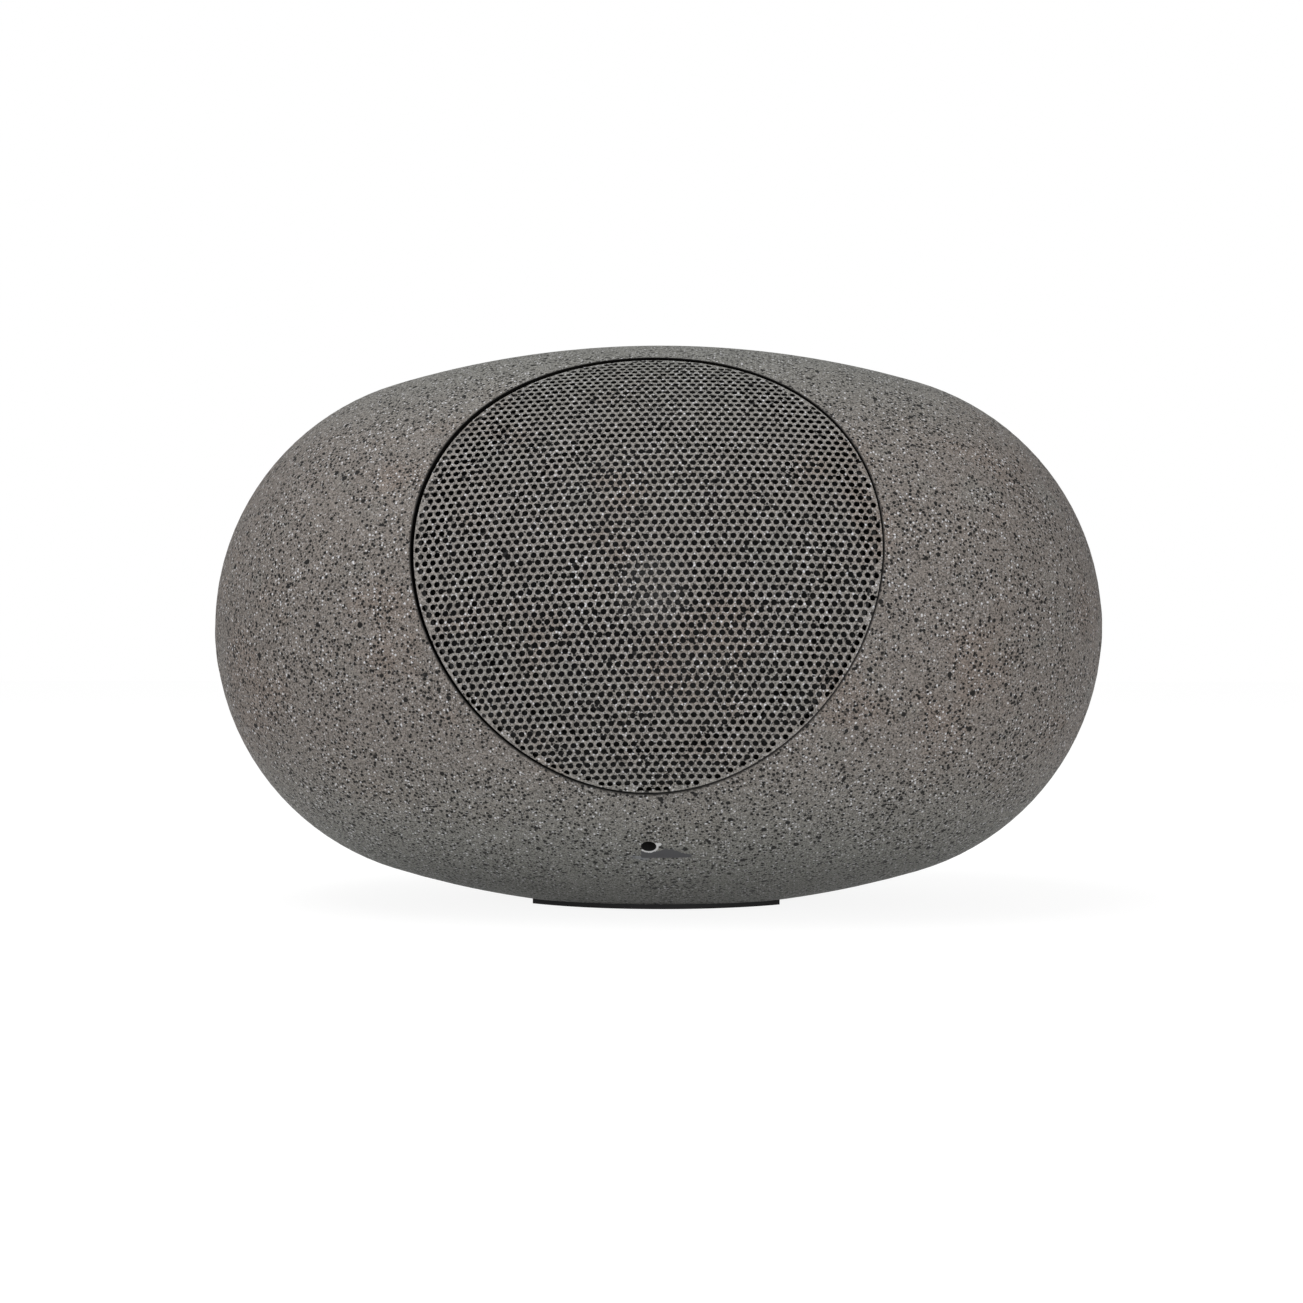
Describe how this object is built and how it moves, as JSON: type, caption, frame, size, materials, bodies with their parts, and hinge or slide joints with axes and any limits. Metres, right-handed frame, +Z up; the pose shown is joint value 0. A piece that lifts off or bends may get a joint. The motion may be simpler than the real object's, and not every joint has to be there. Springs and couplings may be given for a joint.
{
  "type": "garden speaker",
  "caption": "Egg-shaped outdoor loudspeaker with a stone-look moulded housing, a domed round perforated grille and a black foot pad.",
  "frame": {"origin": "middle of the foot pad, on the surface the speaker stands on", "axes": "+X along the egg's length, the grille faces -Y and slightly up, +Z up"},
  "size_m": [0.3652, 0.232, 0.23],
  "materials": {
    "stone_finish": "matte",
    "grille_finish": "matte",
    "black_plastic": "matte",
    "black_rubber": "matte",
    "basket_paint": "satin",
    "cone_sheet": "matte",
    "cap_sheet": "satin",
    "spider_cloth": "matte",
    "copper_wire": "satin",
    "plated_steel": "satin",
    "ferrite": "matte",
    "lamination": "matte",
    "winding_tape": "satin",
    "board": "satin",
    "terminal_brass": "satin",
    "black_screw": "satin"
  },
  "bodies": {
    "root": {"front_shell": "stone_finish", "rear_shell": "stone_finish", "shell_seal": "black_rubber", "shell_screws": "plated_steel", "grille": "grille_finish", "grille_ring": "black_plastic", "driver_gasket": "black_rubber", "driver_basket": "basket_paint", "surround": "black_rubber", "cone": "cone_sheet", "dust_cap": "cap_sheet", "spider": "spider_cloth", "voice_coil": "copper_wire", "top_plate": "plated_steel", "magnet": "ferrite", "t_yoke": "plated_steel", "driver_terminals": "terminal_brass", "driver_screws": "black_screw", "transformer_core": "lamination", "transformer_winding": "winding_tape", "transformer_strap": "plated_steel", "transformer_screws": "plated_steel", "terminal_board": "board", "binding_posts": "terminal_brass", "terminal_screws": "plated_steel", "gland_body": "black_plastic", "gland_washer": "black_rubber", "gland_seal": "black_rubber", "gland_cap": "black_plastic", "gland_locknut": "black_plastic", "base_pad": "black_rubber"}
  },
  "joints": []
}
